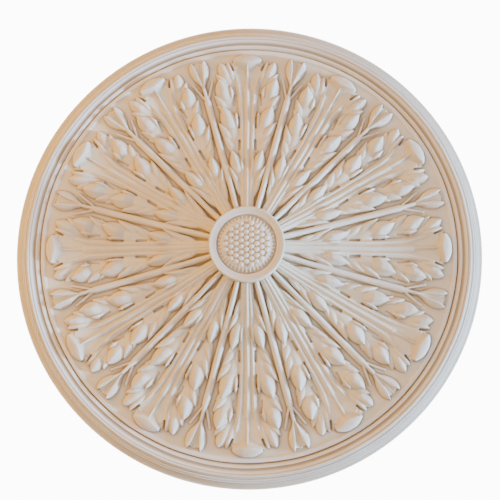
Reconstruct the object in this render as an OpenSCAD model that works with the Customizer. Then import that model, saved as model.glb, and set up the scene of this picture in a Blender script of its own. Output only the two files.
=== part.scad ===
// Ceiling rose: a round cast plaster centrepiece that is fixed flat to a ceiling.
// A stepped rim moulding surrounds a dished field of acanthus leaves and budding
// stalks, which spring from a raised boss with a low dome.
// The flat back lies in the plane z = 0 and the carved face looks down.

/* [Overall] */
// Outside diameter of the rose
rose_d = 1000; // [960:5:1060]
// Thickness of the casting at its outside edge
edge_t = 14; // [11:0.5:17]

/* [Rim moulding] */
// Width of the hollow moulding at the outside edge
cove_w = 13; // [10:0.5:14]
// Rise of the hollow moulding
cove_rise = 8; // [5:0.5:10]
// Width of the flat step inside the hollow moulding
step_w = 5; // [3:0.5:7]
// Width of the small bead beside the step
bead_w = 5; // [3:0.5:6]
// Width of the flat between the small bead and the crest
quirk_w = 3.5; // [2:0.5:5]
// Width of the crest bead, the highest member of the rim
crest_w = 6; // [5:0.5:8]
// Height of the crest bead above the back
crest_h = 34; // [31:0.5:38]
// Width of the slope on the inner side of the crest
slope_w = 12; // [9:0.5:15]
// Fall of the slope on the inner side of the crest
slope_fall = 7; // [5:0.5:9]
// Width of the inner quarter round
ovolo_w = 6; // [4:0.5:8]
// Width of the groove inside the quarter round
groove_w = 4; // [3:0.5:6]
// Depth of the groove below the field beside it
groove_d = 3; // [2:0.5:4]
// Width of the raised border round the field
border_w = 9; // [6:0.5:12]
// Height of the raised border above the field
border_h = 1.6; // [1:0.2:2.4]

/* [Field] */
// Radius at which the dished field is lowest
valley_r = 345; // [325:5:365]
// Height of the field above the back where it is lowest
valley_h = 11; // [9:0.5:14]
// Height of the field above the back beside the rim
verge_h = 20; // [17:0.5:23]
// Height of the field above the back beside the boss
neck_h = 52; // [46:1:58]

/* [Boss] */
// Outside diameter of the boss
boss_d = 157; // [145:1:169]
// Height of the flat ring of the boss above the back
boss_h = 94; // [86:1:100]
// Width of the flat ring of the boss
ring_w = 16; // [13:0.5:19]
// Radius of the rounded outside edge of the ring
ring_round = 3; // [2:0.5:4]
// Width of the groove between the ring and the dome
moat_w = 3; // [2:0.5:4.5]
// Depth of the groove between the ring and the dome
moat_d = 9; // [6:0.5:12]
// Height of the top of the dome above the back
dome_h = 98; // [93:0.5:104]

/* [Leaves] */
// Number of leaves, and of the stalks between them
leaf_count = 12; // [10:1:12]
// Gap between the curled leaf tips and the raised border
leaf_gap = 4.5; // [3:0.5:10]
// Height of the midrib above the field
midrib_rise = 12; // [8:0.5:14]
// Width of the midrib
midrib_w = 9; // [7:0.5:11]
// Depth of the flute beside the midrib
flute_d = 6; // [3:0.5:7]
// Height of the leaflets above the field
leaflet_rise = 14; // [10:0.5:17]
// Height of the leaf edge in the notches between leaflets
notch_rise = 6; // [4:0.5:8]
// Extra height of the curled leaf tip
curl_rise = 10; // [6:0.5:13]
// Half width of the curled leaf tip
curl_w = 24; // [20:1:28]
// Radius at which the lowest lobe starts
lobe_foot_r = 132; // [125:1:140]
// Share of the way out to the leaf tips at the last leaflet of each lobe
lobe_share = [0.493, 0.734, 0.88, 0.961];
// Half width of the leaf across each lobe
lobe_w = [38, 60, 70, 65];
// Number of leaflets on each side of each lobe
lobe_leaflets = [2, 3, 3, 2];
// Depth of the hollows between the leaves and the stalks beside the boss
hollow_d = 8; // [4:0.5:10]

/* [Stalks] */
// Width of the stalk between two leaves
stalk_w = 11; // [9:0.5:12]
// Height of the stalk above the field
stalk_rise = 12; // [8:0.5:14]
// Gap between the end of the bud and the raised border
bud_gap = 4.5; // [3:0.5:12]
// Length of the bud with its foot
bud_len = 76; // [66:1:86]
// Width of the bud
bud_w = 42; // [34:1:46]
// Height of the bud above the field
bud_rise = 16; // [11:0.5:18]

/* [Hidden] */
rose_r = rose_d / 2;
boss_r = boss_d / 2;
cast = [0.93, 0.90, 0.84];
bed_z = 5;
floor_z = 8;
curve_fn = 360;
// members of the rim, counted inwards from the outside edge
step_r = rose_r - cove_w;
bead_r = step_r - step_w;
quirk_r = bead_r - bead_w;
crest_r = quirk_r - quirk_w;
slope_r = crest_r - crest_w;
ovolo_r = slope_r - slope_w;
groove_r = ovolo_r - ovolo_w;
border_r = groove_r - groove_w;
field_r = border_r - border_w;
leaf_reach = field_r - leaf_gap;
bud_reach = field_r - bud_gap;
bud_foot = bud_reach - bud_len;
lobe_r = [for (part = lobe_share) part * leaf_reach];
step_h = edge_t + cove_rise;
slope_h = crest_h - 1.5;
ovolo_h = slope_h - slope_fall;
quirk_h = (crest_h + step_h) / 2;
cove_arc = arc_r(cove_w, cove_rise);
cove_turn = asin(cove_w / cove_arc);
// the field is made of two arcs that meet level at its lowest circle
inner_arc = arc_r(valley_r - boss_r, neck_h - valley_h);
outer_arc = arc_r(border_r - valley_r, verge_h - valley_h);
// the dome is a cap of a sphere
ring_in = boss_r - ring_w;
dome_r = ring_in - moat_w;
moat_h = boss_h - moat_d;
dome_ball = arc_r(dome_r, dome_h - moat_h);
leaf_step = 360 / leaf_count;

// Radius of an arc that falls level after the given run, having dropped the given rise
function arc_r(run, rise) = (run * run + rise * rise) / (2 * rise);

// Height of the field above the back at a distance from the middle
function field_h(r) = r < valley_r
    ? valley_h + inner_arc - sqrt(inner_arc * inner_arc - pow(valley_r - r, 2))
    : valley_h + outer_arc - sqrt(outer_arc * outer_arc - pow(r - valley_r, 2));

// Where a lobe starts along the leaf
function lobe_start(k) = k == 0 ? lobe_foot_r : lobe_r[k - 1];

// Share of the way along a lobe for one of its leaflets
function share(k, j) = (j + 1) / lobe_leaflets[k];

// Distance from the middle of the rose to the end of a leaflet
function tip_r(k, j) = lobe_start(k) + (lobe_r[k] - lobe_start(k)) * share(k, j);

// Distance to the side of the end of a leaflet
function tip_x(k, j) = lobe_w[k] * (1 - 0.9 * pow(share(k, j) - 0.78, 2));

// Distance from the middle to the notch after a leaflet
function notch_r(k, j) = j < lobe_leaflets[k] - 1 ? (tip_r(k, j) + tip_r(k, j + 1)) / 2
    : tip_r(k, j) * 0.65 + tip_r(k + 1, 0) * 0.35;

// Distance to the side of the notch after a leaflet; the one that ends a lobe is the deepest
function notch_x(k, j) = j < lobe_leaflets[k] - 1
    ? (tip_x(k, j) + tip_x(k, j + 1)) / 2 - 9
    : tip_x(k, j) * 0.56;

// Where the vein that ends at a distance from the middle leaves the midrib
function vein_root(r) = 100 + (r - lobe_foot_r) * 0.68;

// Rows of the leaf from the boss outwards:
// [distance of the edge from the middle, half width, root of the vein, edge height, crown height]
// The last lobe ends on its leaflet, and the curled tip follows it
foot_rows = [
    [boss_r + 5, 10, boss_r + 4, 7, 8],
    [112, 15, 93, 7, 10]
];
lobe_rows = [
    for (k = [0:3]) for (j = [0:lobe_leaflets[k] - 1]) each [
        [tip_r(k, j), tip_x(k, j), vein_root(tip_r(k, j)), leaflet_rise - 4, leaflet_rise],
        if (k < 3 || j < lobe_leaflets[k] - 1)
            [notch_r(k, j), notch_x(k, j), vein_root(notch_r(k, j)) + 4, notch_rise, notch_rise + 3]
    ]
];
curl_rows = [
    [leaf_reach - 11, curl_w, leaf_reach - 50, leaflet_rise, leaflet_rise + 1],
    [leaf_reach - 4, curl_w - 2, leaf_reach - 16, leaflet_rise - 1, leaflet_rise + curl_rise],
    [leaf_reach, curl_w * 0.5, leaf_reach - 1, leaflet_rise - 6, leaflet_rise + curl_rise * 0.4]
];
leaf_rows = concat(foot_rows, lobe_rows, curl_rows);
curl_start = len(leaf_rows) - 2;

// Half width of the stalk and its bud at a distance from the middle
function stalk_half(r) = lookup((r - bud_foot) / bud_len, [
    [0, stalk_w / 2],
    [0.38, stalk_w / 2 + 2],
    [0.53, bud_w * 0.36],
    [0.67, bud_w * 0.48],
    [0.8, bud_w * 0.5],
    [1, bud_w * 0.4]
]);

// Height of the crest of the stalk and its bud above the field
function stalk_crest(r) = let (f = (r - bud_foot) / bud_len)
    f < 0 ? stalk_rise
    : f < 0.8 ? stalk_rise + (bud_rise - stalk_rise) * f
    : bud_rise * (1 - 0.8 * pow((f - 0.8) / 0.2, 2));

// Depth of the hollow beside the boss, which dies away outwards
function hollow(r) = hollow_d * max(0, 1 - pow(max(0, r - 100) / 70, 2));

// A point of the carved sheet, across from the midrib (0) to the crest of the stalk (7)
function carved_point(n, c) = let (
    row = leaf_rows[n],
    curled = n >= curl_start,
    t = [0, 0, 0.40, 0.74, 1][min(c, 4)],
    edge_y = sqrt(row[0] * row[0] - row[1] * row[1]),
    foot_half = stalk_half(row[0]),
    half = leaf_step / 2
)
c < 5 ? let (
    x = c == 0 ? 0 : midrib_w / 2 + (row[1] - midrib_w / 2) * pow(t, 1.25),
    y = row[2] + (edge_y - row[2]) * t,
    valley = midrib_rise - flute_d,
    rise = c == 0 ? (curled ? row[4] : midrib_rise)
        : c == 1 ? (curled ? row[4] - 1 : valley)
        : c == 2 ? (curled ? row[4] : (row[4] + valley) / 2)
        : c == 3 ? row[4]
        : row[3]
) [x, y, field_h(norm([x, y])) + rise]
: c == 5 ? [row[1] + 1.5, sqrt(row[0] * row[0] - pow(row[1] + 1.5, 2)), field_h(row[0]) - hollow(row[0])]
: c == 6 ? [
    row[0] * sin(half) - foot_half * cos(half),
    row[0] * cos(half) + foot_half * sin(half),
    field_h(row[0]) - hollow(row[0])
]
: [row[0] * sin(half), row[0] * cos(half), field_h(row[0]) + stalk_crest(row[0])];

// A point of a level ring that beds the sheet into the boss or the border
function ring_point(r, c, h) = [r * sin(leaf_step / 14 * c), r * cos(leaf_step / 14 * c), h];

rings = len(leaf_rows) + 3;
cols = 14 * leaf_count;

// A point of the sheet, whose first ring and last two rings are level
function sheet_point(n, c) = n == 0 ? ring_point(boss_r - 6, c, neck_h - 4)
    : n == rings - 2 ? ring_point(field_r - 0.7, c, verge_h)
    : n == rings - 1 ? ring_point(field_r + 4, c, verge_h)
    : let (p = carved_point(n - 1, abs(c))) [sign(c) * p[0], p[1], p[2]];

// Turns a point clockwise about the middle
function turned(p, a) = [p[0] * cos(a) + p[1] * sin(a), p[1] * cos(a) - p[0] * sin(a), p[2]];

// The carved field as one closed sheet with a level bed
module carving() {
    sheet = [
        for (n = [0:rings - 1]) for (i = [0:leaf_count - 1]) for (c = [-6:7])
            turned(sheet_point(n, c), i * leaf_step)
    ];
    last = (rings - 1) * cols;
    low = len(sheet);
    bed = concat(
        [for (c = [0:cols - 1]) [sheet[c][0], sheet[c][1], bed_z]],
        [for (c = [0:cols - 1]) [sheet[last + c][0], sheet[last + c][1], bed_z]]
    );
    skin = [
        for (n = [0:rings - 2]) for (c = [0:cols - 1]) for (side = [0, 1])
            let (
                a = n * cols + c,
                b = n * cols + (c + 1) % cols,
                d = a + cols,
                e = b + cols,
                left = c % 14 < 6
            )
            left ? (side == 0 ? [a, d, e] : [a, e, b]) : (side == 0 ? [a, d, b] : [b, d, e])
    ];
    walls = [
        for (c = [0:cols - 1]) let (f = (c + 1) % cols) each [
            [c, f, low + f, low + c],
            [last + f, last + c, low + cols + c, low + cols + f],
            [low + cols + f, low + cols + c, low + c, low + f]
        ]
    ];
    polyhedron(points = concat(sheet, bed), faces = concat(skin, walls));
}

// Section of the floor under the carving and of the raised border round it
module field_section() {
    square([border_r, floor_z]);
    translate([field_r, 0])
        square([border_w, verge_h + border_h]);
}

// Points along an arc in a section, as short straight members
function arc_points(centre, r, from, to, members) = [
    for (i = [0:members])
        let (turn = from + (to - from) * i / members)
        [centre[0] + r * cos(turn), centre[1] + r * sin(turn)]
];

// Section of the rim moulding, from the groove round the field to the outside edge
module rim_section() {
    polygon(concat(
        [
            [border_r - 1, 0],
            [border_r - 1, verge_h - groove_d],
            [groove_r, verge_h - groove_d]
        ],
        arc_points([ovolo_r, ovolo_h - ovolo_w], ovolo_w, 180, 90, 4),
        [
            [slope_r - slope_w * 0.33, slope_h - slope_fall * 0.36],
            [slope_r, slope_h]
        ],
        arc_points([crest_r - crest_w / 2, crest_h - crest_w / 2], crest_w / 2, 150, 0, 5),
        [
            [crest_r, quirk_h],
            [quirk_r, quirk_h]
        ],
        arc_points([quirk_r + bead_w / 2, step_h + 1], bead_w / 2, 160, 0, 4),
        [
            [bead_r, step_h],
            [step_r, step_h]
        ],
        arc_points([rose_r, edge_t + cove_arc], cove_arc, 270 - cove_turn * 0.75, 270, 3),
        [[rose_r, 0]]
    ));
}

// Section of the boss: a flat ring with a rounded edge, a groove and a low dome
module boss_section() {
    difference() {
        union() {
            square([boss_r, boss_h - ring_round]);
            square([boss_r - ring_round, boss_h]);
            translate([boss_r - ring_round, boss_h - ring_round])
                circle(r = ring_round, $fn = curve_fn);
        }
        translate([0, moat_h])
            square([ring_in, boss_h]);
    }
    intersection() {
        translate([0, dome_h - dome_ball])
            circle(r = dome_ball, $fn = curve_fn);
        square([dome_r, dome_h + 1]);
    }
}

module ceiling_rose() {
    color(cast)
        rotate([0, 180, 0])
            union() {
                rotate_extrude($fn = curve_fn)
                    union() {
                        field_section();
                        rim_section();
                        boss_section();
                    }
                carving();
            }
}

ceiling_rose();
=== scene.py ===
"""Ceiling rose: the look of a cast plaster centrepiece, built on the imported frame.

The scene is in metres. The relief is worked out in millimetres in a face frame, where the
rose lies on its back: u to the right, v up and h the height above the back. One leaf, with
half a stalk on each side, is worked out as a height map and repeated round the rose.
"""

import logging
import math
from dataclasses import dataclass, field
from enum import Enum

import bpy
import numpy as np
from mathutils import Matrix, Vector

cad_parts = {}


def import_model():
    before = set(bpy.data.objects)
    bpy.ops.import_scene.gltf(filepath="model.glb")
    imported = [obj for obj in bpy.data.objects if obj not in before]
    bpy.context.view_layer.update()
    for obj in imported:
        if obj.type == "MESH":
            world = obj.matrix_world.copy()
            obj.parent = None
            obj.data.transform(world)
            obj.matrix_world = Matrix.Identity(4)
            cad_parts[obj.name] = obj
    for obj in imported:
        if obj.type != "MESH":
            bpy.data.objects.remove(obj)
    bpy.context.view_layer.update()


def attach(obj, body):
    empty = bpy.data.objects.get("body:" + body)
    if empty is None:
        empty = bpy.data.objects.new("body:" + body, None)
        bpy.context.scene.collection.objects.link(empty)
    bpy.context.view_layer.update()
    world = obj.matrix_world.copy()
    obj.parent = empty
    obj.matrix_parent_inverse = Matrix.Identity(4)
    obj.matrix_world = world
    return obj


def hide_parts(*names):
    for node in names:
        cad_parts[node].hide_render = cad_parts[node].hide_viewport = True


LOG = logging.getLogger("ceiling_rose")
MM = 0.001
NODE = "ceiling_rose"
LEAVES = 12
STEP = math.tau / LEAVES
Array = np.ndarray
Point = tuple[float, float]
Triple = tuple[float, float, float]


class Zone(Enum):
    """Where a plaster finish is used."""

    CARVED = "carved"
    RUN = "run"
    BACK = "back"


# ---------------------------------------------------------------- section of the rose


@dataclass(frozen=True)
class Section:
    """Radii and heights that several pieces share, in millimetres from the flat back."""

    rose_r: float = 500.0
    bed_r: float = 498.0
    boss_r: float = 78.5
    neck_h: float = 52.0
    valley_r: float = 345.0
    valley_h: float = 11.0
    border_r: float = 445.5
    verge_h: float = 20.0

    def dish(self, r: Array) -> Array:
        """Height of the dished field: two arcs that meet in its valley.

        Args:
            r: distances from the middle.

        Returns:
            The heights above the back.
        """
        arc_in = arc_radius(self.valley_r - self.boss_r, self.neck_h - self.valley_h)
        arc_out = arc_radius(self.border_r - self.valley_r, self.verge_h - self.valley_h)
        off = np.clip(r, 0, self.border_r) - self.valley_r
        arc = np.where(off < 0, arc_in, arc_out)
        return self.valley_h + arc - np.sqrt(arc**2 - off**2)


@dataclass(frozen=True)
class Round:
    """A round stretch of a section: centre, radius, end angles in degrees and parts."""

    centre_r: float
    centre_h: float
    r: float
    start: float
    end: float
    parts: int

    def points(self) -> list[Point]:
        """Points along the stretch.

        Returns:
            Points (radius, height), both ends included.
        """
        sweep = self.end - self.start
        turns = [math.radians(self.start + sweep * i / self.parts) for i in range(self.parts + 1)]
        return [(self.centre_r + self.r * math.cos(a), self.centre_h + self.r * math.sin(a)) for a in turns]


def arc_radius(run: float, rise: float) -> float:
    """Radius of the arc that is level at one end and rises so far over a run."""
    return (run**2 + rise**2) / (2 * rise)


# ---------------------------------------------------------------- places on the face


def smooth(edge0: float, edge1: float, x: Array) -> Array:
    """A soft step between two edges.

    Args:
        edge0: where it starts to rise.
        edge1: where it is full.
        x: the places.

    Returns:
        Values from 0 to 1.
    """
    t = np.clip((x - edge0) / (edge1 - edge0), 0, 1)
    return t * t * (3 - 2 * t)


def bent(root: Point, bend: Point, tip: Point, parts: int = 18) -> Array:
    """A smooth run from root to tip, drawn towards a bend.

    Args:
        root: where it starts.
        bend: what it leans towards.
        tip: where it ends.
        parts: number of straight parts.

    Returns:
        The run, one row a point.
    """
    t = np.linspace(0, 1, parts + 1)[:, None]
    a, b, c = np.array(root), np.array(bend), np.array(tip)
    return (1 - t) ** 2 * a + 2 * t * (1 - t) * b + t**2 * c


def along(x: Array, y: Array, path: Array) -> tuple[Array, Array]:
    """Nearest place on a run of points.

    Args:
        x: sideways places.
        y: outward places.
        path: the run, one row a point.

    Returns:
        The share of the way along the run, and the distance to the run.
    """
    seg = np.diff(path, axis=0)
    length = np.hypot(seg[:, 0], seg[:, 1])
    start = np.concatenate([[0], np.cumsum(length)])
    best = np.full(x.shape, 1e9)
    share = np.zeros(x.shape)
    for i in range(len(seg)):
        dx, dy = x - path[i, 0], y - path[i, 1]
        t = np.clip((dx * seg[i, 0] + dy * seg[i, 1]) / length[i] ** 2, 0, 1)
        d = np.hypot(dx - t * seg[i, 0], dy - t * seg[i, 1])
        near = d < best
        best = np.where(near, d, best)
        share = np.where(near, (start[i] + t * length[i]) / start[-1], share)
    return share, best


def wobble(u: Array, v: Array, seed: int, scale: float, waves: int = 9) -> Array:
    """Slow, smooth unevenness over the face, from a few crossing waves.

    Args:
        u: places to the right.
        v: places up.
        seed: chooses the waves.
        scale: length of the shortest wave in millimetres.
        waves: number of waves.

    Returns:
        Values between about -1 and 1.
    """
    rng = np.random.default_rng(seed)
    out = np.zeros(np.shape(u))
    for _ in range(waves):
        angle = rng.uniform(0, math.tau)
        wave = scale * rng.uniform(1.0, 3.5)
        phase = rng.uniform(0, math.tau)
        out = out + np.sin((u * math.cos(angle) + v * math.sin(angle)) * math.tau / wave + phase)
    return out / (waves / 2)


def blurred(grid: Array, sigma: float) -> Array:
    """Softens a map with a bell curve.

    Args:
        grid: the map.
        sigma: spread of the curve in cells.

    Returns:
        The softened map.
    """
    reach = max(1, int(3 * sigma))
    bell = np.exp(-0.5 * (np.arange(-reach, reach + 1) / sigma) ** 2)
    bell = bell / bell.sum()
    out = grid
    for axis in (0, 1):
        pad = [(reach, reach) if a == axis else (0, 0) for a in (0, 1)]
        wide = np.pad(out, pad, mode="edge")
        total = np.zeros(grid.shape)
        for i, weight in enumerate(bell):
            cut = [slice(None), slice(None)]
            cut[axis] = slice(i, i + grid.shape[axis])
            total = total + weight * wide[tuple(cut)]
        out = total
    return out


# ---------------------------------------------------------------- carving of one leaf


@dataclass(frozen=True)
class Leaflet:
    """One leaflet, from its root beside the midrib to its tip.

    root, bend and tip are (distance to the side, distance from the middle). blunt is near 0
    for a pointed tip and near 1 for a round one, and crease is the depth of its folds.
    """

    root: Point
    bend: Point
    tip: Point
    half: float
    crown: float
    low: float
    blunt: float = 0.5
    crease: float = 0.9
    narrows_from: float = 0.55
    lift: float = 1.35
    droop: float = 4.0
    rounding: float = 0.62
    wall: float = 5.0

    def height(self, x: Array, y: Array) -> Array:
        """Height of the leaflet over the map.

        Args:
            x: distances to the side of the midrib.
            y: distances along the midrib.

        Returns:
            The heights, 0 off the leaflet.
        """
        share, off = along(x, y, bent(self.root, self.bend, self.tip))
        taper = np.clip((share - self.narrows_from) / (1 - self.narrows_from), 0, 1)
        end = (1 - taper ** (1.3 + 2.2 * self.blunt)) ** (0.95 - 0.45 * self.blunt)
        half = self.half * (0.4 + 0.6 * smooth(0.15, 0.6, share)) * np.clip(end, 0.02, 1)
        s = off / half
        foot = self.low * 0.5
        top = foot + (self.crown * self.lift - foot) * smooth(0.22, 0.68, share)
        top = top - self.droop * smooth(0.8, 1.0, share)
        cup = top * (1 - self.rounding * np.clip(s, 0, 1) ** 1.6)
        folds = np.exp(-((s / 0.16) ** 2)) + 0.6 * np.exp(-(((s - 0.52) / 0.1) ** 2))
        cup = cup - self.crease * folds * smooth(0.2, 0.6, share)
        side = cup - (np.clip(s, 1, None) - 1) * half * self.wall
        return np.where(share < 0.999, np.maximum(side, 0), np.where(off < half, cup, 0))


@dataclass(frozen=True)
class Ridge:
    """A raised vein with sloping sides, along a run of points."""

    path: tuple[Point, ...]
    top: float
    foot: float
    half: float
    power: float = 1.2

    def over(self, ground: Array, x: Array, y: Array) -> Array:
        """Lays the vein over the carving.

        Args:
            ground: the carving so far.
            x: distances to the side of the midrib.
            y: distances along the midrib.

        Returns:
            The carving with the vein.
        """
        off = along(x, y, np.array(self.path, float))[1]
        body = self.foot + (self.top - self.foot) * np.clip(1 - off / self.half, 0, 1) ** self.power
        return np.where(off < self.half, np.maximum(ground, body), ground)


@dataclass(frozen=True)
class Slit:
    """A narrow drilled hollow with steep sides."""

    start: Point
    end: Point
    half: float
    depth: float
    steep: float = 1.35

    def cut(self, x: Array, y: Array) -> Array:
        """How much the slit takes away.

        Args:
            x: distances to the side of the midrib.
            y: distances along the midrib.

        Returns:
            The depths, 0 off the slit.
        """
        off = along(x, y, np.array([self.start, self.end], float))[1]
        return self.depth * np.clip(self.steep - (off / self.half) ** 2, 0, 1)


@dataclass(frozen=True)
class Trunk:
    """The low body of the leaf, on which the leaflets lie."""

    height: float = 4.0
    start: float = 72.0
    end: float = 418.0
    places: tuple[float, ...] = (78, 130, 200, 300, 345, 380, 415)
    halves: tuple[float, ...] = (7, 9, 14, 18, 22, 34, 44)

    def body(self, x: Array, y: Array) -> Array:
        """Height of the trunk over the map.

        Args:
            x: distances to the side of the midrib.
            y: distances along the midrib.

        Returns:
            The heights, 0 off the trunk.
        """
        flat = self.height * np.clip(1 - (x / np.interp(y, self.places, self.halves)) ** 6, 0, 1)
        return np.where((y > self.start) & (y < self.end), flat, 0)


@dataclass(frozen=True)
class Throat:
    """The hollow throat of the leaf, which opens towards its curled tip."""

    start: float = 325.0
    opens: Point = (330.0, 405.0)
    mouth: float = 420.0
    half: float = 8.0
    spread: float = 24.0
    floor: float = 6.0
    floor_rise: float = 1.5
    side_rise: float = 3.5

    def height(self, x: Array, y: Array) -> Array:
        """Height of the throat over the map.

        Args:
            x: distances to the side of the midrib.
            y: distances along the midrib.

        Returns:
            The heights, 0 off the throat.
        """
        t = smooth(*self.opens, y)
        half = self.half + self.spread * t
        body = self.floor + self.floor_rise * t + self.side_rise * t * np.clip(x / half, 0, 1) ** 2
        return np.where((x < half) & (y > self.start) & (y < self.mouth - 0.5 * x), body, 0)


@dataclass(frozen=True)
class CurledTip:
    """The leaf tip, which rolls over towards the middle of the rose.

    The radii are those on the midrib. Each bow is how far that line has moved at the sides.
    """

    half: float = 31.0
    inner_r: float = 390.0
    inner_bow: float = 20.0
    fold_r: float = 411.0
    fold_bow: float = 7.0
    outer_r: float = 434.0
    outer_bow: float = 11.0
    top: float = 21.0
    side_fall: float = 5.0
    lip: float = 7.0
    fold_step: float = 1.5
    brim: float = 5.0

    def height(self, x: Array, y: Array) -> Array:
        """Height of the tip: a sweep up to the fold, then a roll down to the brim.

        Args:
            x: distances to the side of the midrib.
            y: distances along the midrib.

        Returns:
            The heights, 0 off the tip.
        """
        s = np.clip(x / self.half, 0, 1)
        inner = self.inner_r + self.inner_bow * s**1.5
        fold = self.fold_r + self.fold_bow * s**1.4
        outer = self.outer_r - self.outer_bow * s**2.4
        top = self.top - self.side_fall * s**2
        climb = np.clip((y - inner) / (fold - inner), 0, 1) ** 2.6
        sweep = self.lip + (top - self.lip - self.fold_step) * climb
        arch = np.sqrt(np.clip(1 - ((y - fold) / (outer - fold)) ** 2, 0, 1))
        roll = self.brim + (top - self.brim) * arch
        body = np.where(y < fold, sweep, roll)
        return np.where((x < self.half) & (y > inner) & (y < outer), body, 0)


@dataclass(frozen=True)
class Sepal:
    """A thin blade beside a bud."""

    path: tuple[Point, ...]
    half: float
    top: float


@dataclass(frozen=True)
class BuddingStalk:
    """A stalk between two leaves, with the bud at its end."""

    foot: float = 5.0
    rise: float = 9.5
    end: float = 372.0
    places: tuple[float, ...] = (76, 200, 338, 352)
    halves: tuple[float, ...] = (5.4, 7.2, 7.4, 4.0)
    blade_foot: float = 4.0
    sepals: tuple[Sepal, ...] = (
        Sepal(((1.2, 340.0), (23.0, 386.0)), 2.6, 10.5),
        Sepal(((0.0, 366.0), (3.0, 392.0), (9.0, 427.0)), 2.8, 12.5),
        Sepal(((0.0, 366.0), (0.0, 425.0)), 2.4, 11.5),
    )
    bud_end: float = 433.0
    bud_places: tuple[float, ...] = (372, 385, 395, 407, 417, 428, 433)
    outer_halves: tuple[float, ...] = (2.5, 9, 16, 20.5, 21.5, 19.0, 15.0)
    inner_halves: tuple[float, ...] = (1.2, 3.0, 4.4, 6.0, 8.0, 11.5, 14.0)
    petal_foot: float = 4.0
    petal_rise: float = 12.0
    petal_droop: float = 3.0
    petal_flute: float = 0.7
    cup_h: float = 8.5
    cup_flute: float = 1.8
    cup_droop: float = 2.0
    cup_start: float = 376.0
    cup_end: float = 430.0

    def height(self, s: Array, q: Array) -> Array:
        """Height of the stalk and its bud.

        Args:
            s: distances to the side of the stalk.
            q: distances along the stalk.

        Returns:
            The heights, 0 off the stalk.
        """
        s = np.abs(s)
        half = np.interp(q, self.places, self.halves)
        rod = self.foot + self.rise * np.sqrt(np.clip(1 - (s / half) ** 2, 0, 1))
        out = np.where((s < half) & (q < self.end), rod, np.zeros(s.shape))
        for sepal in self.sepals:
            share, off = along(s, q, np.array(sepal.path))
            blade = np.sqrt(np.clip(1 - (off / sepal.half) ** 2, 0, 1))
            body = (self.blade_foot + (sepal.top - self.blade_foot) * blade) * (1 - 0.25 * share)
            out = np.where((off < sepal.half) & (share < 0.9999), np.maximum(out, body), out)
        return self.bud(out, s, q)

    def bud(self, ground: Array, s: Array, q: Array) -> Array:
        """Lays the two petals of the bud and the fluted cup between them over the stalk.

        Args:
            ground: the stalk and its sepals.
            s: distances to the side of the stalk.
            q: distances along the stalk.

        Returns:
            The heights with the bud.
        """
        outer = np.interp(q, self.bud_places, self.outer_halves)
        inner = np.interp(q, self.bud_places, self.inner_halves)
        across = np.clip((s - inner) / np.clip(outer - inner, 0.5, None), 0, 1)
        petal = self.petal_foot + self.petal_rise * (1 - across**2) ** 0.65
        petal = petal - self.petal_droop * smooth(422, self.bud_end, q)
        petal = petal + self.petal_flute * np.cos(across * math.tau * 3.0) * smooth(392, 410, q)
        on_petal = (s >= inner) & (s < outer) & (q > self.end) & (q < self.bud_end)
        out = np.where(on_petal, np.maximum(ground, petal), ground)
        flute = np.cos(s * math.tau / (0.32 * np.clip(inner, 2, None) + 1.5))
        cup = self.cup_h + self.cup_flute * flute - self.cup_droop * smooth(415, self.cup_end, q)
        in_cup = (s < inner + 0.5) & (q > self.cup_start) & (q < self.cup_end - 0.3 * s)
        return np.where(in_cup, np.maximum(out, cup), out)


LEAFLETS: tuple[Leaflet, ...] = (
    # bodies under the lobes
    Leaflet((6, 90), (14, 150), (27, 198), 11.0, 6.5, 4.0, 0.9, 0.0),
    Leaflet((14, 180), (28, 245), (44, 300), 19.0, 8.5, 4.0, 0.9, 0.0),
    Leaflet((26, 275), (46, 320), (56, 366), 20.0, 8.5, 4.0, 0.9, 0.0),
    Leaflet((20, 338), (42, 370), (54, 404), 19.0, 8.5, 5.0, 0.9, 0.0),
    # lowest lobe
    Leaflet((4, 84), (16, 122), (32, 156), 5.5, 9.0, 5.0, 0.1),
    Leaflet((5, 100), (20, 142), (42, 182), 7.0, 12.0, 4.0, 0.1),
    Leaflet((8, 122), (17, 166), (33, 213), 13.0, 16.0, 3.5, 0.45),
    Leaflet((8, 138), (11, 170), (13, 200), 4.5, 13.5, 4.0, 0.4),
    # second lobe
    Leaflet((13, 180), (24, 206), (46, 226), 6.0, 7.5, 3.0, 0.1),
    Leaflet((13, 190), (30, 222), (54, 251), 9.0, 9.5, 3.0, 0.15),
    Leaflet((15, 206), (36, 244), (65, 281), 10.5, 11.5, 3.0, 0.15),
    Leaflet((17, 226), (34, 268), (54, 314), 17.0, 17.0, 3.5, 0.5),
    Leaflet((17, 240), (22, 274), (25, 304), 6.0, 13.5, 4.0, 0.4),
    # third lobe
    Leaflet((24, 272), (42, 298), (67, 319), 7.0, 9.0, 3.0, 0.1),
    Leaflet((26, 284), (48, 316), (73, 343), 10.5, 11.5, 3.0, 0.15),
    Leaflet((28, 300), (48, 338), (64, 377), 17.0, 17.0, 3.5, 0.5),
    Leaflet((28, 314), (34, 342), (38, 363), 5.5, 13.5, 4.0, 0.4),
    # fan at the top
    Leaflet((26, 346), (48, 370), (70, 391), 9.5, 10.5, 4.0, 0.2),
    Leaflet((22, 344), (46, 384), (61, 414), 13.0, 13.5, 4.0, 0.75),
    Leaflet((17, 342), (33, 380), (44, 416), 8.5, 12.0, 4.5, 0.8),
)

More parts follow.
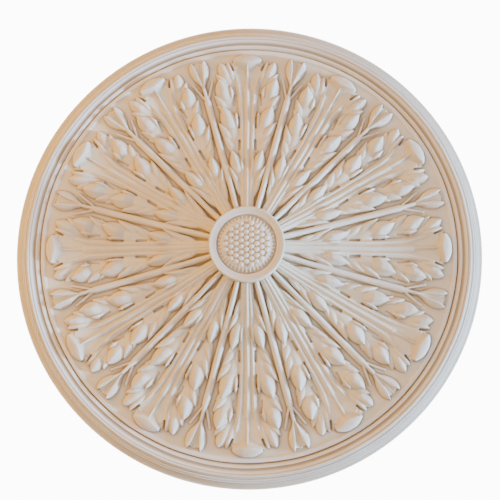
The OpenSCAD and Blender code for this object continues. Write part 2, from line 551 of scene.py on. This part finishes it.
RIDGES: tuple[Ridge, ...] = (
    # midrib
    Ridge(((0, 70), (0, 352)), 13.0, 6.0, 9.0, 1.1),
    Ridge(((0, 340), (0, 398)), 12.0, 5.5, 6.0, 1.4),
    Ridge(((0, 385), (0, 414)), 17.0, 5.5, 4.0, 1.6),
    # vein beside the midrib
    Ridge(
        ((6, 78), (9, 150), (11, 214), (12.5, 300), (15, 342), (22, 375), (36, 408)), 11.5, 5.5, 7.0, 1.2
    ),
    # short veins at the foot of the leaf
    Ridge(((5, 80), (12, 122), (24, 160)), 9.5, 4.0, 3.2, 1.0),
    Ridge(((4, 80), (9, 126), (18, 172)), 10.5, 5.0, 3.2, 1.0),
)

SLITS: tuple[Slit, ...] = (
    Slit((17.5, 218), (17.0, 238), 2.7, 13.0),
    Slit((29.0, 322), (28.0, 344), 3.0, 13.0),
    Slit((18.5, 268), (19.8, 292), 2.3, 8.0),
    Slit((31.5, 399), (39.0, 416), 2.5, 13.0),
)


@dataclass
class Relief:
    """Height map of one leaf and its half stalks, which repeats round the rose.

    The field is cut deeper beside the boss, and the painted shade in its hollows is lighter there.
    """

    section: Section
    pitch: float = 0.5
    soften: float = 0.6
    wide: float = 128.0
    near: float = 70.0
    far: float = 447.0
    hollow_h: float = 7.0
    hollow_r: Point = (105.0, 190.0)
    deepest: float = -3.0
    shade_ease_r: Point = (110.0, 200.0)
    shade_ease_share: float = 0.3
    trunk: Trunk = Trunk()
    throat: Throat = Throat()
    tip: CurledTip = CurledTip()
    stalk: BuddingStalk = BuddingStalk()
    height: Array = field(init=False)
    painted_shading: Array = field(init=False)

    def __post_init__(self) -> None:
        """Works out the height map, and a map of how hollow each place is, for painted shade in hollows and
        a painted highlight on raised places.
        """
        columns = int((2 * self.wide) / self.pitch) + 1
        rows = int((self.far - self.near) / self.pitch) + 1
        across = np.linspace(-self.wide, self.wide, columns)
        x, y = np.meshgrid(across, np.linspace(self.near, self.far, rows))
        r = np.hypot(x, y)
        turn = np.abs((np.arctan2(x, y) + STEP / 2) % STEP - STEP / 2)
        rise = self.rise(r * np.sin(turn), r * np.cos(turn))
        start, end = self.hollow_r
        fade = np.clip(1 - (np.clip(r - start, 0, None) / (end - start)) ** 2, 0, 1)
        hollow = self.hollow_h * fade * (1 - smooth(0, 4, rise))
        raw = self.section.dish(r) - hollow + rise
        self.height = blurred(raw, self.soften / self.pitch)
        # Painted shading: positive in hollows, which are painted darker, and negative on raised places,
        # which are painted paler.
        broad = (blurred(raw, 6.0 / self.pitch) - self.height) / 9.0
        fine = (blurred(raw, 2.2 / self.pitch) - self.height) / 2.6
        # Less painted shade in the hollows beside the boss.
        near_boss = 1 - smooth(*self.shade_ease_r, r)
        self.painted_shading = np.clip(0.55 * broad + 0.6 * fine, -1, 1) * (1 - self.shade_ease_share * near_boss)

    def rise(self, x: Array, y: Array) -> Array:
        """Height of the carving above the field.

        Args:
            x: distances to the side of the midrib.
            y: distances along the midrib.

        Returns:
            The heights, 0 on bare field.
        """
        out = np.maximum(0, self.trunk.body(x, y))
        for leaflet in LEAFLETS:
            out = np.maximum(out, leaflet.height(x, y))
        out = np.maximum(out, self.throat.height(x, y))
        for ridge in RIDGES:
            out = ridge.over(out, x, y)
        for slit in SLITS:
            out = out - slit.cut(x, y)
        out = np.maximum(out, self.tip.height(x, y))
        half = STEP / 2
        beside = x * -math.cos(half) + y * math.sin(half)
        outward = x * math.sin(half) + y * math.cos(half)
        out = np.maximum(out, self.stalk.height(beside, outward))
        return np.maximum(out, self.deepest)

    def sample(self, u: Array, v: Array, grid: Array) -> Array:
        """Value of a map at places in the face frame.

        Args:
            u: places to the right.
            v: places up.
            grid: the map.

        Returns:
            The values.
        """
        r = np.hypot(u, v)
        turn = (np.arctan2(u, v) + STEP / 2) % STEP - STEP / 2
        col = (r * np.sin(turn) + self.wide) / self.pitch
        row = (r * np.cos(turn) - self.near) / self.pitch
        c0 = np.clip(col.astype(int), 0, grid.shape[1] - 2)
        r0 = np.clip(row.astype(int), 0, grid.shape[0] - 2)
        a, b = np.clip(col - c0, 0, 1), np.clip(row - r0, 0, 1)
        near = grid[r0, c0] * (1 - a) + grid[r0, c0 + 1] * a
        far = grid[r0 + 1, c0] * (1 - a) + grid[r0 + 1, c0 + 1] * a
        return near * (1 - b) + far * b


# ---------------------------------------------------------------- meshes


def to_world(u: Array, v: Array, h: Array) -> Array:
    """Face frame in millimetres to the scene's frame in metres."""
    return np.stack([-u, v, -h], axis=-1) * MM


def make_mesh(name: str, points: Array, faces: list, smooth_shade: bool = True) -> bpy.types.Object:
    """Makes an object from points and faces.

    Args:
        name: name of the piece.
        points: places in metres, one row a point.
        faces: lists of point numbers.
        smooth_shade: whether the faces are shaded smooth.

    Returns:
        The new object, linked to the scene.
    """
    mesh = bpy.data.meshes.new(name)
    mesh.from_pydata(points.tolist(), [], faces)
    mesh.validate(verbose=False)
    mesh.polygons.foreach_set("use_smooth", [smooth_shade] * len(mesh.polygons))
    mesh.update()
    obj = bpy.data.objects.new(name, mesh)
    bpy.context.scene.collection.objects.link(obj)
    return obj


def set_painted_shading(obj: bpy.types.Object, values: Array) -> None:
    """Stores how hollow each point is, for the finish to paint as shade in hollows and as a highlight on
    raised places.
    """
    layer = obj.data.attributes.new("hollow", "FLOAT", "POINT")
    layer.data.foreach_set("value", np.asarray(values, dtype=np.float32))


def zipped(counts: list[int]) -> list[tuple[int, int, int]]:
    """Triangles between rows of points with different numbers of points.

    Args:
        counts: number of points in each row.

    Returns:
        Triangles as point numbers, turned the same way.
    """
    faces: list[tuple[int, int, int]] = []
    start = 0
    for n, m in zip(counts[:-1], counts[1:]):
        low, high = start, start + n
        i = j = 0
        while i < n - 1 or j < m - 1:
            step_low = j >= m - 1 or (i < n - 1 and (i + 1) * (m - 1) <= (j + 1) * (n - 1))
            if step_low:
                faces.append((low + i, low + i + 1, high + j))
                i += 1
            else:
                faces.append((low + i, high + j + 1, high + j))
                j += 1
        start += n
    return faces


def disc_grid(radii: Array, parts: int) -> tuple[Array, Array, Array, Array]:
    """Places on rings round the middle of the face.

    Args:
        radii: radii of the rings.
        parts: number of points on each ring.

    Returns:
        Places to the right and up, distances from the middle and clockwise angles from the top.
    """
    turn = np.linspace(0, math.tau, parts, endpoint=False)
    r, a = np.meshgrid(radii, turn, indexing="ij")
    return r * np.sin(a), r * np.cos(a), r, a


# ---------------------------------------------------------------- finish


@dataclass(frozen=True)
class Plaster:
    """Cast plaster with a limewash, with painted shade in its hollows and a painted highlight on raised
    edges.
    """

    zone: Zone
    base: Triple = (0.79, 0.66, 0.42)
    # Dark tint of the painted shade in hollows.
    shade_tint: Triple = (0.30, 0.20, 0.10)
    # Pale tint of the painted highlight on raised edges.
    highlight_tint: Triple = (0.90, 0.83, 0.71)
    rough: float = 0.72
    grain: float = 0.00016
    gloss: float = 0.25
    mottle_scale: float = 14.0
    patch_scale: float = 60.0
    brush_scale: float = 90.0
    grain_scale: float = 420.0

    def material(self) -> bpy.types.Material:
        """The finish as a material, made once for each zone.

        Returns:
            The material.
        """
        name = f"plaster_{self.zone.value}"
        known = bpy.data.materials.get(name)
        if known is not None:
            return known
        mat = bpy.data.materials.new(name)
        mat.use_nodes = True
        tree = mat.node_tree
        tree.nodes.clear()
        out = tree.nodes.new("ShaderNodeOutputMaterial")
        shader = tree.nodes.new("ShaderNodeBsdfPrincipled")
        tree.links.new(shader.outputs[0], out.inputs["Surface"])
        shader.inputs["Specular IOR Level"].default_value = self.gloss
        place = tree.nodes.new("ShaderNodeTexCoord").outputs["Object"]
        tree.links.new(self.colour(tree, place), shader.inputs["Base Color"])
        tree.links.new(self.roughness(tree, place), shader.inputs["Roughness"])
        tree.links.new(self.bump(tree, place), shader.inputs["Normal"])
        return mat

    def colour(self, tree: bpy.types.NodeTree, place: bpy.types.NodeSocket) -> bpy.types.NodeSocket:
        """Colour: mottled limewash, with painted shade in hollows and a painted highlight on raised edges.

        Args:
            tree: the material's nodes.
            place: where on the object.

        Returns:
            The colour socket.
        """
        mottle = noise(tree, place, self.mottle_scale, 6.0, 0.6)
        ramp = tree.nodes.new("ShaderNodeValToRGB")
        ramp.color_ramp.elements[0].position = 0.3
        ramp.color_ramp.elements[0].color = (*[c * 0.93 for c in self.base], 1)
        ramp.color_ramp.elements[1].position = 0.7
        ramp.color_ramp.elements[1].color = (*[min(1.0, c * 1.04) for c in self.base], 1)
        tree.links.new(mottle, ramp.inputs["Fac"])
        hollow = tree.nodes.new("ShaderNodeAttribute")
        hollow.attribute_name = "hollow"
        # Painted shade: hollows are mixed towards the dark tint.
        painted_shade = ranged(tree, hollow.outputs["Fac"], (0.05, 0.85), (0.0, 0.8))
        first = mixed(tree, painted_shade, ramp.outputs["Color"], self.shade_tint)
        # Painted highlight: raised places are mixed towards the pale tint.
        bare = ranged(tree, hollow.outputs["Fac"], (-0.1, -0.8), (0.0, 0.5))
        return mixed(tree, bare, first, self.highlight_tint)

    def roughness(self, tree: bpy.types.NodeTree, place: bpy.types.NodeSocket) -> bpy.types.NodeSocket:
        """Roughness that wanders a little round its middle value.

        Args:
            tree: the material's nodes.
            place: where on the object.

        Returns:
            The roughness socket.
        """
        patches = noise(tree, place, self.patch_scale, 4.0, 0.5)
        return ranged(tree, patches, (0.0, 1.0), (self.rough - 0.08, self.rough + 0.12))

    def bump(self, tree: bpy.types.NodeTree, place: bpy.types.NodeSocket) -> bpy.types.NodeSocket:
        """Brushed wash and fine grain in the surface.

        Args:
            tree: the material's nodes.
            place: where on the object.

        Returns:
            The normal socket.
        """
        brushed = noise(tree, place, self.brush_scale, 5.0, 0.55)
        grains = noise(tree, place, self.grain_scale, 3.0, 0.6)
        coarse = bumped(tree, brushed, self.grain * 2)
        fine = bumped(tree, grains, self.grain)
        tree.links.new(coarse.outputs["Normal"], fine.inputs["Normal"])
        return fine.outputs["Normal"]


def noise(
    tree: bpy.types.NodeTree, place: bpy.types.NodeSocket, scale: float, detail: float, rough: float
) -> bpy.types.NodeSocket:
    """A noise texture on the object's own places.

    Args:
        tree: the material's nodes.
        place: where on the object.
        scale: how fine it is.
        detail: how many layers it has.
        rough: how strong the fine layers are.

    Returns:
        The value socket.
    """
    node = tree.nodes.new("ShaderNodeTexNoise")
    node.inputs["Scale"].default_value = scale
    node.inputs["Detail"].default_value = detail
    node.inputs["Roughness"].default_value = rough
    tree.links.new(place, node.inputs["Vector"])
    return node.outputs["Fac"]


def ranged(
    tree: bpy.types.NodeTree, value: bpy.types.NodeSocket, given: Point, wanted: Point
) -> bpy.types.NodeSocket:
    """Moves a value from one range to another.

    Args:
        tree: the material's nodes.
        value: the value socket.
        given: the range it has.
        wanted: the range it gets.

    Returns:
        The new value socket.
    """
    node = tree.nodes.new("ShaderNodeMapRange")
    node.inputs["From Min"].default_value = given[0]
    node.inputs["From Max"].default_value = given[1]
    node.inputs["To Min"].default_value = wanted[0]
    node.inputs["To Max"].default_value = wanted[1]
    tree.links.new(value, node.inputs["Value"])
    return node.outputs["Result"]


def bumped(tree: bpy.types.NodeTree, height: bpy.types.NodeSocket, depth: float) -> bpy.types.Node:
    """Turns a value into relief in the surface.

    Args:
        tree: the material's nodes.
        height: the value socket.
        depth: depth of the relief in metres.

    Returns:
        The bump node.
    """
    node = tree.nodes.new("ShaderNodeBump")
    node.inputs["Strength"].default_value = 0.6
    node.inputs["Distance"].default_value = depth
    tree.links.new(height, node.inputs["Height"])
    return node


def mixed(
    tree: bpy.types.NodeTree, share: bpy.types.NodeSocket, first: bpy.types.NodeSocket, second: Triple
) -> bpy.types.NodeSocket:
    """Mixes a colour socket with a plain colour.

    Args:
        tree: the material's nodes.
        share: how much of the plain colour.
        first: the colour socket.
        second: the plain colour.

    Returns:
        The mixed colour socket.
    """
    node = tree.nodes.new("ShaderNodeMix")
    node.data_type = "RGBA"
    tree.links.new(share, node.inputs[0])
    tree.links.new(first, node.inputs[6])
    node.inputs[7].default_value = (*second, 1)
    return node.outputs[2]


# ---------------------------------------------------------------- sub-assemblies


@dataclass
class Plasterwork:
    """What each part of the rose has: the shared section, a finish and its dressing."""

    section: Section
    finish: Plaster

    def dress(self, obj: bpy.types.Object) -> bpy.types.Object:
        """Gives a piece its finish and ties it to the casting.

        Args:
            obj: the piece.

        Returns:
            The same piece.
        """
        obj.data.materials.append(self.finish.material())
        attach(obj, "root")
        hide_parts(NODE)
        return obj

    def turned(
        self, name: str, profile: list[Point], parts: int, sway: float, seed: int
    ) -> bpy.types.Object:
        """Turns a section round the axis, a little unevenly, as plaster run by hand is.

        Args:
            name: name of the piece.
            profile: points (radius, height) from the inside outwards.
            parts: number of parts round the turn.
            sway: how far the members wander in millimetres.
            seed: chooses the unevenness.

        Returns:
            The dressed piece.
        """
        r, h = np.array(profile).T
        turn = np.linspace(0, math.tau, parts, endpoint=False)
        grid_r, grid_a = np.meshgrid(r, turn, indexing="xy")
        u, v = grid_r * np.sin(grid_a), grid_r * np.cos(grid_a)
        level = np.broadcast_to(h, grid_r.shape)
        inside = (grid_r < self.section.rose_r - 2.0) & (grid_r > 40)
        sideways = sway * wobble(u, v, seed, 60.0) * inside
        lift = sway * 0.6 * wobble(u, v, seed + 1, 50.0) * inside
        grid_h = level + lift * (level > 15)
        u, v = (grid_r + sideways) * np.sin(grid_a), (grid_r + sideways) * np.cos(grid_a)
        n = len(profile)
        faces = []
        for i in range(parts):
            a, b = i * n, ((i + 1) % parts) * n
            faces += [(a + k, a + k + 1, b + k + 1, b + k) for k in range(n - 1)]
        obj = make_mesh(name, to_world(u, v, grid_h).reshape(-1, 3), faces)
        # Painted shading on the run members: darker where the neighbouring members stand higher, paler
        # where they stand lower.
        around = np.stack([np.roll(level, k, axis=1) for k in (-3, -2, -1, 1, 2, 3)]).mean(axis=0)
        set_painted_shading(obj, np.clip((around - level) / 1.5, -1, 1).ravel())
        return self.dress(obj)


@dataclass
class LeavesAndStalks(Plasterwork):
    """The leaves and stalks, in twelve pieces cut along the crests of the stalks."""

    inner_r: float = 78.2
    outer_r: float = 437.2
    cell: float = 1.28
    verge_drop: float = 0.6
    verge_from: float = 434.5
    verge_to: float = 436.2
    drift: float = 0.5
    drift_wave: float = 45.0
    swell: float = 0.35
    swell_wave: float = 30.0
    pitting: float = 0.12
    pitting_wave: float = 6.0

    def build(self) -> list[bpy.types.Object]:
        """Makes one piece for each leaf.

        Returns:
            The dressed pieces.
        """
        relief = Relief(self.section)
        rows = int((self.outer_r - self.inner_r) / self.cell) + 1
        radii = np.linspace(self.inner_r, self.outer_r, rows)
        counts = [max(24, int(round(r * STEP / self.cell))) + 1 for r in radii]
        faces = zipped(counts)
        turn = np.concatenate([np.linspace(-STEP / 2, STEP / 2, n) for n in counts])
        reach = np.repeat(radii, counts)
        pieces = []
        for i in range(LEAVES):
            a = turn + i * STEP
            u, v = reach * np.sin(a), reach * np.cos(a)
            points = to_world(u, v, self.height(relief, u, v))
            obj = make_mesh(f"leaf_and_stalk_{i + 1:02d}", points, faces)
            # Painted shade in the hollows and painted highlight on the raised places of the carving.
            set_painted_shading(obj, relief.sample(u, v, relief.painted_shading))
            self.set_normals(obj, relief, u, v)
            pieces.append(self.dress(obj))
        return pieces

    def height(self, relief: Relief, u: Array, v: Array) -> Array:
        """Height of the carving, with the slight unevenness of a cast.

        Args:
            relief: the carving.
            u: places to the right.
            v: places up.

        Returns:
            Heights above the back.
        """
        du = u + self.drift * wobble(u, v, 3, self.drift_wave)
        dv = v + self.drift * wobble(u, v, 4, self.drift_wave)
        r = np.hypot(u, v)
        h = relief.sample(du, dv, relief.height)
        uneven = self.swell * wobble(u, v, 5, self.swell_wave)
        uneven = uneven + self.pitting * wobble(u, v, 6, self.pitting_wave)
        h = h + uneven * smooth(79, 90, r)
        verge = smooth(self.verge_from, self.verge_to, r)
        return h * (1 - verge) + (self.section.verge_h - self.verge_drop) * verge

    def set_normals(self, obj: bpy.types.Object, relief: Relief, u: Array, v: Array) -> None:
        """Shades each piece from the carving itself, so that no seam shows.

        Args:
            obj: the piece.
            relief: the carving.
            u: its places to the right.
            v: its places up.
        """
        gap = 0.6
        gu = (self.height(relief, u + gap, v) - self.height(relief, u - gap, v)) / (2 * gap)
        gv = (self.height(relief, u, v + gap) - self.height(relief, u, v - gap)) / (2 * gap)
        normals = np.stack([gu, -gv, -np.ones_like(gu)], axis=-1)
        normals /= np.linalg.norm(normals, axis=-1, keepdims=True)
        obj.data.normals_split_custom_set_from_vertices(normals.tolist())


@dataclass
class RimMoulding(Plasterwork):
    """The stepped moulding round the outside, member by member as (radius, height)."""

    parts: int = 480
    sway: float = 0.35
    border: tuple[Point, ...] = ((435.6, 18.6), (436.3, 19.5), (437.0, 20.8), (438.0, 21.4), (444.4, 21.7))
    groove: tuple[Point, ...] = ((445.2, 21.2), (445.8, 14.0), (447.2, 13.2), (448.8, 13.8))
    ovolo: Round = Round(455.1, 19.9, 5.9, 188, 92, 7)
    slope: tuple[Point, ...] = (
        (455.6, 24.2), (456.2, 24.4), (458.4, 25.4), (460.8, 26.8), (463.4, 29.0), (465.4, 30.9),
    )
    crest_quirk: tuple[Point, ...] = ((466.6, 31.5), (467.2, 28.8))
    crest: Round = Round(470.5, 31.0, 3.0, 175, -22, 10)
    high_step: tuple[Point, ...] = ((473.7, 25.8), (474.3, 28.0), (476.2, 28.0), (476.8, 23.6))
    bead: Round = Round(479.6, 24.2, 2.6, 170, -20, 8)
    low_step: tuple[Point, ...] = ((482.3, 19.6), (483.0, 22.4), (486.0, 22.4), (486.7, 18.8))
    cove: Round = Round(500.0, 28.56, 14.56, 222, 268, 8)
    edge: tuple[Point, ...] = ((500.0, 13.6), (500.0, 2.0), (499.2, 0.5), (498.0, 0.0))

    def profile(self) -> list[Point]:
        """Section of the rim from the groove round the field to the back edge.

        Returns:
            Points (radius, height).
        """
        inner = [*self.border, *self.groove, *self.ovolo.points(), *self.slope, *self.crest_quirk]
        steps = [*self.crest.points(), *self.high_step, *self.bead.points(), *self.low_step]
        return inner + steps + [*self.cove.points(), *self.edge]

    def build(self) -> list[bpy.types.Object]:
        """Makes the moulding as one turned piece."""
        return [self.turned("rim_moulding", self.profile(), self.parts, self.sway, 21)]


@dataclass
class Boss(Plasterwork):
    """The flat ring in the middle, with a dome of seeds set inside it."""

    dome_r: float = 59.5
    dome_h: float = 98.0
    moat_h: float = 85.0
    moat: tuple[Point, ...] = ((58.0, 84.0), (60.2, 83.6), (61.6, 84.4), (62.3, 87.0), (62.6, 90.4))
    ring: tuple[Point, ...] = ((63.2, 91.4), (64.6, 91.7), (72.6, 92.9))
    ring_edge: Round = Round(75.4, 90.9, 3.1, 110, 0, 8)
    wall: tuple[Point, ...] = ((78.4, 86.0), (78.5, 60.0), (78.6, 40.0))
    ring_parts: int = 240
    ring_sway: float = 0.2
    seed_pitch: float = 12.2
    seed_r: float = 6.0
    seed_h: float = 6.0
    cluster_r: float = 47.0
    florets: int = 44
    floret_h: float = 4.6
    dome_rows: int = 84
    dome_parts: int = 352

    def build(self) -> list[bpy.types.Object]:
        """Makes the ring and the dome.

        Returns:
            The dressed pieces.
        """
        profile = [*self.moat, *self.ring, *self.ring_edge.points(), *self.wall]
        ring = self.turned("boss_ring", profile, self.ring_parts, self.ring_sway, 31)
        return [ring, self.dress(self.dome())]

    def seeds(self) -> list[Point]:
        """Places of the seeds, in staggered upright rows.

        Returns:
            Places (u, v).
        """
        out = []
        aside = self.seed_pitch * math.sqrt(3) / 2
        for column in range(-5, 6):
            for row in range(-6, 7):
                u = column * aside
                v = (row + 0.5 * (column % 2)) * self.seed_pitch
                if math.hypot(u, v) < self.cluster_r - 1.5:
                    out.append((u, v))
        return out

    def dome(self) -> bpy.types.Object:
        """Makes the dome with its seeds and the ring of small petals round them.

        Returns:
            The new object.
        """
        n = self.dome_parts
        radii = np.linspace(0.0, self.dome_r + 0.6, self.dome_rows)[1:]
        u, v, r, a = disc_grid(radii, n)
        h = self.dome_height(u, v, r, a)
        middle = np.zeros(1)
        centre = to_world(middle, middle, self.dome_height(middle, middle, middle, middle))
        faces: list = [(0, 1 + k, 1 + (k + 1) % n) for k in range(n)]
        for i in range(self.dome_rows - 2):
            s = 1 + i * n
            faces += [(s + k, s + n + k, s + n + (k + 1) % n, s + (k + 1) % n) for k in range(n)]
        obj = make_mesh("boss_dome", np.concatenate([centre, to_world(u, v, h).reshape(-1, 3)]), faces)
        # Painted shading: darker between the seeds and petals, paler on their tops and at the middle point.
        hollow = np.clip((self.bowl(r) + 1.5 - h) / 2.8, -1, 1)
        set_painted_shading(obj, np.concatenate([[-0.5], hollow.ravel()]))
        return obj

    def bowl(self, r: Array) -> Array:
        """Height of the bare dome under the seeds.

        Args:
            r: distances from the middle.

        Returns:
            Heights above the back.
        """
        swell = np.sqrt(np.clip(1 - (r / (self.dome_r + 2)) ** 2, 0, 1))
        return self.moat_h - 0.5 + (self.dome_h - 5.8 - self.moat_h) * swell

    def dome_height(self, u: Array, v: Array, r: Array, a: Array) -> Array:
        """Height of the dome with all that is on it.

        Args:
            u: places to the right.
            v: places up.
            r: distances from the middle.
            a: clockwise angles from the top.

        Returns:
            Heights above the back.
        """
        bumps = np.zeros(np.shape(u))
        for su, sv in self.seeds():
            d = np.hypot(u - su, v - sv)
            bumps = np.maximum(bumps, self.seed_h * np.sqrt(np.clip(1 - (d / self.seed_r) ** 2, 0, 1)))
        share = (r - self.cluster_r + 2) / (self.dome_r - self.cluster_r + 2)
        ring = np.zeros(np.shape(u))
        for shift, start, length in ((0.0, 0.0, 0.62), (0.5, 0.12, 0.88)):
            wave = np.abs((a * self.florets / math.tau + shift) % 1 - 0.5) * 2
            outward = np.clip((share - start) / length, 0, 1)
            petal = np.clip(1 - wave / np.clip((1 - outward) ** 0.5, 0.02, 1), 0, 1)
            inside = (share > start) & (share < start + length)
            ring = np.maximum(ring, inside * self.floret_h * (1 - 0.5 * outward) * petal**0.8)
        return self.bowl(r) + np.maximum(bumps, ring)


@dataclass
class BackFace(Plasterwork):
    """The flat back that beds on the ceiling."""

    rings: int = 64
    parts: int = 240
    uneven: float = 0.7
    level_from: float = 480.0
    centre_h: float = 0.3

    def build(self) -> list[bpy.types.Object]:
        """Makes the back, struck off nearly level.

        Returns:
            The one dressed piece.
        """
        n = self.parts
        radii = np.linspace(0, self.section.bed_r, self.rings + 1)[1:]
        u, v, r, _ = disc_grid(radii, n)
        level = 1 - smooth(self.level_from, self.section.bed_r, r)
        h = (0.5 + 0.5 * wobble(u, v, 51, 60.0)) * self.uneven * level
        centre = to_world(np.zeros(1), np.zeros(1), np.full(1, self.centre_h))
        points = np.concatenate([centre, to_world(u, v, np.clip(h, 0, 1.5)).reshape(-1, 3)])
        faces: list = [(0, 1 + (k + 1) % n, 1 + k) for k in range(n)]
        for i in range(self.rings - 1):
            s = 1 + i * n
            faces += [(s + k, s + (k + 1) % n, s + n + (k + 1) % n, s + n + k) for k in range(n)]
        obj = make_mesh("back_face", points, faces)
        set_painted_shading(obj, np.zeros(len(points)))
        return [self.dress(obj)]


# ---------------------------------------------------------------- the room


@dataclass(frozen=True)
class Lamp:
    """A soft square light, with its size in metres and its power in watts."""

    name: str
    place: Triple
    target: Triple
    size: float
    power: float
    colour: Triple

    def hang(self) -> None:
        """Adds the light to the scene."""
        data = bpy.data.lights.new(self.name, "AREA")
        data.size = self.size
        data.energy = self.power
        data.color = self.colour
        obj = bpy.data.objects.new(self.name, data)
        obj.location = self.place
        obj.rotation_mode = "QUATERNION"
        obj.rotation_quaternion = (Vector(self.target) - Vector(self.place)).to_track_quat("-Z", "Y")
        bpy.context.scene.collection.objects.link(obj)


@dataclass
class Studio:
    """Camera below the rose, soft lights and a plain floor. Angles are in degrees."""

    distance: float = 1.6
    tilt: float = 8.2
    near_side: float = 11.0
    target: Triple = (0.0, 0.0, -0.014)
    lens: float = 53.6
    shift: Point = (0.005, -0.002)
    floor_half: float = 6.0
    floor_z: float = -2.6
    floor_glow: float = 0.8
    floor_glow_level: float = 2.4
    room_level: float = 0.045
    white_level: float = 12.0
    lamps: tuple[Lamp, ...] = (
        Lamp("key", (-4.6, -0.8, -0.8), (0, 0, 0), 0.8, 980.0, (0.33, 0.53, 1.0)),
        Lamp("fill", (1.7, 0.3, -0.85), (0.1, 0, 0), 1.0, 29.0, (1.0, 0.53, 0.01)),
        Lamp("head", (0.5, 2.2, -1.2), (0, 0, 0), 1.2, 33.0, (1.0, 0.48, 0.05)),
        Lamp("front", (0.7, -0.6, -1.9), (0, 0, 0), 0.9, 15.0, (1.0, 0.50, 0.04)),
        Lamp("above", (-0.8, -0.8, 3.4), (0, 0, 0), 3.0, 130.0, (1.0, 0.95, 0.88)),
    )

    def build(self) -> None:
        """Sets the whole studio up."""
        self.camera()
        for lamp in self.lamps:
            lamp.hang()
        self.room()
        self.floor()

    def camera(self) -> None:
        """Puts the camera below the rose, a little to one side of its axis."""
        data = bpy.data.cameras.new("camera")
        data.lens = self.lens
        data.shift_x, data.shift_y = self.shift
        cam = bpy.data.objects.new("camera", data)
        bpy.context.scene.collection.objects.link(cam)
        t, a = math.radians(self.tilt), math.radians(self.near_side)
        way = Vector((-math.sin(a) * math.sin(t), -math.cos(a) * math.sin(t), -math.cos(t)))
        target = Vector(self.target)
        cam.location = target + way * self.distance
        forward = (target - cam.location).normalized()
        right = forward.cross(Vector((0, 1, 0))).normalized()
        up = right.cross(forward)
        cam.matrix_world = matrix_from(right, up, -forward, cam.location)
        bpy.context.scene.camera = cam

    def room(self) -> None:
        """Dim warm surroundings, which the camera sees as plain white."""
        world = bpy.data.worlds.new("world")
        world.use_nodes = True
        tree = world.node_tree
        shade = tree.nodes["Background"]
        shade.inputs["Color"].default_value = (1.0, 0.82, 0.62, 1)
        shade.inputs["Strength"].default_value = self.room_level
        plain = tree.nodes.new("ShaderNodeBackground")
        plain.inputs["Color"].default_value = (1.0, 1.0, 1.0, 1)
        plain.inputs["Strength"].default_value = self.white_level
        mix = tree.nodes.new("ShaderNodeMixShader")
        path = tree.nodes.new("ShaderNodeLightPath")
        tree.links.new(path.outputs["Is Camera Ray"], mix.inputs["Fac"])
        tree.links.new(shade.outputs[0], mix.inputs[1])
        tree.links.new(plain.outputs[0], mix.inputs[2])
        tree.links.new(mix.outputs[0], tree.nodes["World Output"].inputs["Surface"])
        bpy.context.scene.world = world

    def floor(self) -> None:
        """A plain pale floor well below the camera, kept pale to the camera by a glow."""
        half, level = self.floor_half, self.floor_z
        corners = np.array([(x * half, y * half, level) for x, y in ((-1, -1), (1, -1), (1, 1), (-1, 1))])
        obj = make_mesh("floor", corners, [(0, 1, 2, 3)], False)
        mat = bpy.data.materials.new("floor")
        mat.use_nodes = True
        tree = mat.node_tree
        matt = tree.nodes["Principled BSDF"]
        matt.inputs["Base Color"].default_value = (0.83, 0.79, 0.73, 1)
        matt.inputs["Roughness"].default_value = 0.9
        glow = tree.nodes.new("ShaderNodeEmission")
        glow.inputs["Color"].default_value = (0.95, 0.94, 0.92, 1)
        glow.inputs["Strength"].default_value = self.floor_glow_level
        mix = tree.nodes.new("ShaderNodeMixShader")
        share = tree.nodes.new("ShaderNodeMath")
        share.operation = "MULTIPLY"
        share.inputs[1].default_value = self.floor_glow
        path = tree.nodes.new("ShaderNodeLightPath")
        tree.links.new(path.outputs["Is Camera Ray"], share.inputs[0])
        tree.links.new(share.outputs[0], mix.inputs["Fac"])
        tree.links.new(matt.outputs[0], mix.inputs[1])
        tree.links.new(glow.outputs[0], mix.inputs[2])
        tree.links.new(mix.outputs[0], tree.nodes["Material Output"].inputs["Surface"])
        obj.data.materials.append(mat)


def matrix_from(right: Vector, up: Vector, back: Vector, place: Vector) -> Matrix:
    """A camera's matrix from its three directions and its place.

    Args:
        right: the way to its right.
        up: the way up.
        back: the way behind it.
        place: where it stands.

    Returns:
        The matrix.
    """
    return Matrix(
        (
            (right.x, up.x, back.x, place.x),
            (right.y, up.y, back.y, place.y),
            (right.z, up.z, back.z, place.z),
            (0, 0, 0, 1),
        )
    )


def main() -> None:
    """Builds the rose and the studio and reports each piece."""
    logging.basicConfig(level=logging.INFO, format="%(name)s: %(message)s")
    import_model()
    Studio().build()
    section = Section()
    run = Plaster(Zone.RUN)
    assemblies = (
        LeavesAndStalks(section, Plaster(Zone.CARVED)),
        RimMoulding(section, run),
        Boss(section, run),
        BackFace(section, Plaster(Zone.BACK, base=(0.74, 0.66, 0.52), rough=0.84, grain=0.0006)),
    )
    for assembly in assemblies:
        for obj in assembly.build():
            LOG.info("%s: %d faces", obj.name, len(obj.data.polygons))


if __name__ == "__main__":
    main()
